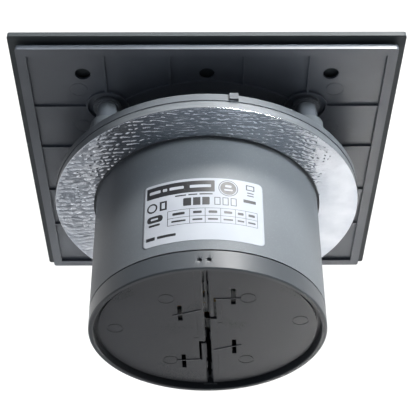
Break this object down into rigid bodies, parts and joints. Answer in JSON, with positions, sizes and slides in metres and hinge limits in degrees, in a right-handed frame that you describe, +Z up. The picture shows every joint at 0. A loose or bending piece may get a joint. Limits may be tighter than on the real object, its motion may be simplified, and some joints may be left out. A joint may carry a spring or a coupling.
{
  "type": "bathroom extractor fan",
  "caption": "Duct-mounted extractor fan: square standoff front panel, round flange with foil gasket, axial impeller in a round spigot, and a sprung two-leaf backdraught damper.",
  "frame": {"origin": "duct axis in the plane of the wall, at the gasket's rear face", "axes": "+Y runs along the duct axis into the wall, +Z is up as hung on the wall, +X is to the right for a person who faces the front panel"},
  "size_m": [0.16, 0.0925, 0.16],
  "materials": {
    "plate_plastic": "satin",
    "foam_tape": "matt",
    "carrier_plastic": "fine satin texture",
    "post_plastic": "glossy",
    "zinc_steel": "zinc plated",
    "flange_plastic": "satin, slightly metallic",
    "housing_plastic": "satin, slightly metallic",
    "black_rubber": "matt",
    "grey_foam": "closed-cell foam",
    "embossed_foil": "crinkled and embossed",
    "label_film": null,
    "inner_plastic": "satin",
    "cast_alloy": "die cast",
    "lamination_steel": "stacked laminations",
    "enamelled_copper": "enamelled wire",
    "sintered_bronze": "sintered",
    "lead_sheath": "pvc sheath",
    "box_plastic": "satin",
    "block_polyamide": "polyamide",
    "screw_brass": "machined",
    "impeller_plastic": "satin",
    "ground_steel": "ground",
    "black_steel": "blackened spring steel",
    "flap_plastic": "satin",
    "spring_steel": "bright spring wire"
  },
  "bodies": {
    "housing": {"wall_flange": "flange_plastic", "spigot_tube": "housing_plastic", "post_grommets": "black_rubber", "wall_gasket": "grey_foam", "gasket_foil": "embossed_foil", "rating_label": "label_film", "motor_cradle": "inner_plastic", "cradle_screws": "zinc_steel", "front_bracket": "cast_alloy", "rear_bracket": "cast_alloy", "stator_core": "lamination_steel", "stator_winding": "enamelled_copper", "front_bush": "sintered_bronze", "rear_bush": "sintered_bronze", "motor_bolts": "zinc_steel", "motor_lead": "lead_sheath", "terminal_box": "box_plastic", "terminal_lid": "box_plastic", "lid_screws": "zinc_steel", "terminal_block": "block_polyamide", "terminal_screws": "screw_brass", "cable_grommet": "black_rubber", "collar_seal": "black_rubber", "damper_collar": "housing_plastic", "hinge_pins": "ground_steel"},
    "front_panel": {"front_plate": "plate_plastic", "adhesive_tapes": "foam_tape", "panel_carrier": "carrier_plastic", "panel_posts": "post_plastic", "post_screws": "zinc_steel"},
    "rotor": {"impeller": "impeller_plastic", "motor_shaft": "ground_steel", "rotor_core": "lamination_steel", "shaft_circlip": "black_steel"},
    "left_flap": {"left_flap": "flap_plastic", "lower_spring": "spring_steel", "upper_spring_arm": "spring_steel"},
    "right_flap": {"right_flap": "flap_plastic", "upper_spring": "spring_steel", "lower_spring_arm": "spring_steel"}
  },
  "joints": [
    {"name": "panel_pull", "type": "slide", "parent": "housing", "child": "front_panel", "axis": [0, -1, 0], "range_m": [0, 0.015]},
    {"name": "impeller_spin", "type": "hinge", "parent": "housing", "child": "rotor", "pos_m": [0, 0, 0], "axis": [0, 1, 0], "continuous": true},
    {"name": "left_flap_hinge", "type": "hinge", "parent": "housing", "child": "left_flap", "pos_m": [0.0018, 0.0604, -0.00005], "axis": [0.0305, 0, 0.9995], "range_deg": [0, 75], "stiffness_Nm_per_rad": 0.004, "springref_deg": -20.05},
    {"name": "right_flap_hinge", "type": "hinge", "parent": "housing", "child": "right_flap", "pos_m": [-0.0018, 0.0604, 0.00005], "axis": [-0.0305, 0, -0.9995], "range_deg": [0, 75], "stiffness_Nm_per_rad": 0.004, "springref_deg": -20.05}
  ]
}
